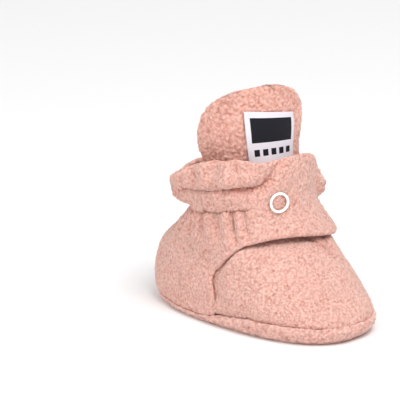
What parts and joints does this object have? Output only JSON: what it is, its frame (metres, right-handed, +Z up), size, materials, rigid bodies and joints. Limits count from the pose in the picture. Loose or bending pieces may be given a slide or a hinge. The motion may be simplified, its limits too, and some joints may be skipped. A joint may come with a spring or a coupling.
{
  "type": "baby bootie",
  "caption": "Soft fleece baby bootie with a wrap flap, ring snap, tall tongue, gathered elastic ankle and curly pile sole.",
  "frame": {"origin": "on the ground under the middle of the sole's length", "axes": "+Z up, toe towards -Y, heel towards +Y, the wearer's right towards -X"},
  "size_m": [0.0669, 0.1188, 0.1147],
  "materials": {
    "teddy": "curly pile",
    "fleece": "short brushed pile",
    "lining": "plain knit",
    "foam": "soft wadding",
    "elastic": "ribbed elastic",
    "label": "woven satin",
    "snap": "white enamel"
  },
  "bodies": {
    "bootie_body": {"outsole": "teddy", "insole_pad": "foam", "insole_lining": "lining", "vamp": "fleece", "vamp_lining": "lining", "right_quarter": "fleece", "right_quarter_lining": "lining", "left_quarter": "fleece", "left_quarter_lining": "lining", "ankle_elastic": "elastic"},
    "wrap_flap_body": {"wrap_flap": "fleece", "wrap_flap_lining": "lining", "snap_cap_ring": "snap", "snap_socket": "snap"},
    "underlap_body": {"underlap_flap": "fleece", "underlap_flap_lining": "lining", "snap_stud": "snap", "snap_post_ring": "snap"},
    "tongue_body": {"tongue": "teddy", "tongue_lining": "lining", "woven_label": "label"}
  },
  "joints": [
    {"name": "wrap_open", "type": "hinge", "parent": "bootie_body", "child": "wrap_flap_body", "pos_m": [-0.0275, -0.0064, 0.062], "axis": [0.1003, -0.1583, -0.9823], "range_deg": [0, 110]},
    {"name": "underlap_open", "type": "hinge", "parent": "bootie_body", "child": "underlap_body", "pos_m": [0.0308, 0.0057, 0.0596], "axis": [0.1445, 0.1158, 0.9827], "range_deg": [0, 38.5]},
    {"name": "tongue_tilt", "type": "hinge", "parent": "bootie_body", "child": "tongue_body", "pos_m": [-0.001, -0.0138, 0.05], "axis": [-0.9702, 0.2423, 0], "range_deg": [0, 12]}
  ],
  "couplings": [
    {"joint": "underlap_open", "follows": "wrap_open", "ratio": 0.35}
  ]
}
